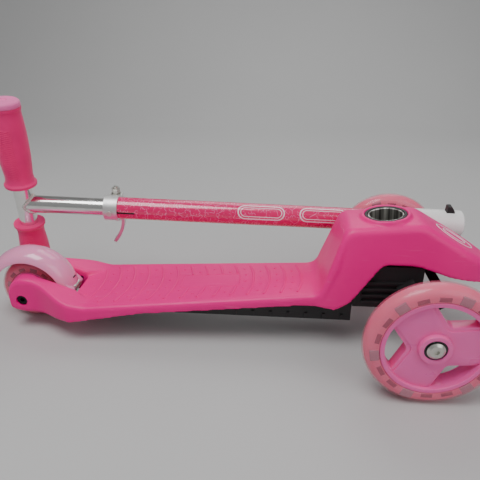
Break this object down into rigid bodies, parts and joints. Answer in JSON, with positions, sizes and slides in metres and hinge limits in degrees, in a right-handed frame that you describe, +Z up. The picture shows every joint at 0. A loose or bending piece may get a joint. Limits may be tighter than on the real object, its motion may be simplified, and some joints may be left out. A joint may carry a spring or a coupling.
{
  "type": "kick scooter",
  "caption": "Child's three-wheel kick scooter that steers by leaning, with its telescopic handlebar pulled out of the socket and stood beside the deck",
  "frame": {"origin": "on the floor, in the middle of the bounding box", "axes": "+X forward, +Y to the rider's left, +Z up"},
  "size_m": [0.5984, 0.2704, 0.2694],
  "materials": {
    "deck_plastic": "satin moulded plastic, hot pink",
    "black_plastic": "matte glass-filled nylon",
    "zinc_steel": "bright zinc plate",
    "tie_steel": "black coated steel strip",
    "socket_chrome": "chromed steel liner",
    "core_pink": "semi-gloss moulded plastic, candy pink",
    "tyre_pink": "translucent polyurethane, pink",
    "light_clear": "clear light modules",
    "fender_pink": "gloss moulded plastic, light pink",
    "stem_paint": "gloss paint with a light line pattern",
    "plug_white": "white moulded plastic",
    "clamp_alloy": "polished cast aluminium",
    "bar_chrome": "chromed steel tube",
    "grip_rubber": "matte moulded rubber, pink"
  },
  "bodies": {
    "deck": {"deck_shell": "deck_plastic", "rear_fork": "deck_plastic", "front_housing": "deck_plastic", "under_tray": "black_plastic", "tray_screws": "zinc_steel", "stem_socket": "socket_chrome", "socket_collar": "black_plastic", "front_bracket": "black_plastic", "kingpins": "zinc_steel", "kingpin_nuts": "zinc_steel", "bracket_bolts": "zinc_steel", "steer_spring_left": "zinc_steel", "steer_spring_right": "zinc_steel", "rear_axle_bolt": "zinc_steel", "rear_axle_nut": "zinc_steel", "rear_spacers": "zinc_steel", "rear_hub_sleeve": "zinc_steel", "fender_pin": "zinc_steel", "brake_spring": "zinc_steel"},
    "arm_left": {"steering_arm_left": "black_plastic", "axle_bolt_left": "zinc_steel", "axle_washers_left": "zinc_steel", "hub_sleeve_left": "zinc_steel"},
    "arm_right": {"steering_arm_right": "black_plastic", "axle_bolt_right": "zinc_steel", "axle_washers_right": "zinc_steel", "hub_sleeve_right": "zinc_steel"},
    "tie_rod": {"tie_rod": "tie_steel", "tie_rod_pins": "zinc_steel"},
    "wheel_left": {"front_core_left": "core_pink", "front_tyre_left": "tyre_pink", "front_bearings_left": "zinc_steel", "front_lights_left": "light_clear"},
    "wheel_right": {"front_core_right": "core_pink", "front_tyre_right": "tyre_pink", "front_bearings_right": "zinc_steel", "front_lights_right": "light_clear"},
    "wheel_rear": {"rear_core": "core_pink", "rear_tyre": "tyre_pink", "rear_bearings": "zinc_steel", "rear_lights": "light_clear"},
    "fender": {"fender_brake": "fender_pink", "brake_block": "zinc_steel"},
    "stem": {"lower_tube": "stem_paint", "tube_plug": "plug_white", "tube_shim": "black_plastic", "clamp_band": "clamp_alloy", "clamp_key_screw": "zinc_steel", "clamp_skewer": "zinc_steel", "skewer_nut": "zinc_steel", "button_spring": "zinc_steel", "lever_pin": "zinc_steel"},
    "button": {"release_button": "black_plastic"},
    "lever": {"cam_lever": "clamp_alloy"},
    "handlebar": {"upper_tube": "bar_chrome", "crossbar": "bar_chrome", "weld_bead": "bar_chrome", "grip_left": "grip_rubber", "grip_right": "grip_rubber"}
  },
  "joints": [
    {"name": "steer_left", "type": "hinge", "parent": "deck", "child": "arm_left", "pos_m": [0.20725, 0.066, 0.0675], "axis": [-0.5, 0, 0.866], "range_deg": [-9, 9], "stiffness_Nm_per_rad": 8, "deforming": ["steer_spring_left"]},
    {"name": "steer_right", "type": "hinge", "parent": "deck", "child": "arm_right", "pos_m": [0.20725, -0.066, 0.0675], "axis": [-0.5, 0, 0.866], "range_deg": [-9, 9], "stiffness_Nm_per_rad": 8, "deforming": ["steer_spring_right"]},
    {"name": "tie_rod_turn", "type": "hinge", "parent": "arm_left", "child": "tie_rod", "pos_m": [0.23323, 0.066, 0.0825], "axis": [-0.5, 0, 0.866], "range_deg": [-9, 9]},
    {"name": "front_left_spin", "type": "hinge", "parent": "arm_left", "child": "wheel_left", "pos_m": [0.20725, 0.121, 0.0675], "axis": [0, 1, 0], "continuous": true},
    {"name": "front_right_spin", "type": "hinge", "parent": "arm_right", "child": "wheel_right", "pos_m": [0.20725, -0.121, 0.0675], "axis": [0, 1, 0], "continuous": true},
    {"name": "rear_spin", "type": "hinge", "parent": "deck", "child": "wheel_rear", "pos_m": [-0.25075, 0, 0.04], "axis": [0, 1, 0], "continuous": true},
    {"name": "fender_press", "type": "hinge", "parent": "deck", "child": "fender", "pos_m": [-0.19775, 0, 0.043], "axis": [0, -1, 0], "range_deg": [0, 3], "stiffness_Nm_per_rad": 12, "springref_deg": -2.86},
    {"name": "stem_lift_off", "type": "slide", "parent": "deck", "child": "stem", "axis": [0, 0, 1], "range_m": [0, 0.25]},
    {"name": "height_slide", "type": "slide", "parent": "stem", "child": "handlebar", "axis": [-0.9972, -0.0614, 0.043], "range_m": [0, 0.12]},
    {"name": "cam_lever_swing", "type": "hinge", "parent": "stem", "child": "lever", "pos_m": [-0.15824, 0.07526, 0.11183], "axis": [-0.0548, 0.9888, 0.139], "range_deg": [0, 90]},
    {"name": "button_press", "type": "slide", "parent": "stem", "child": "button", "axis": [-0.051, 0.1363, -0.9894], "range_m": [0, 0.007], "stiffness_N_per_m": 400, "deforming": ["button_spring"]}
  ],
  "couplings": [
    {"joint": "steer_right", "follows": "steer_left", "ratio": 1},
    {"joint": "tie_rod_turn", "follows": "steer_left", "ratio": -1}
  ]
}
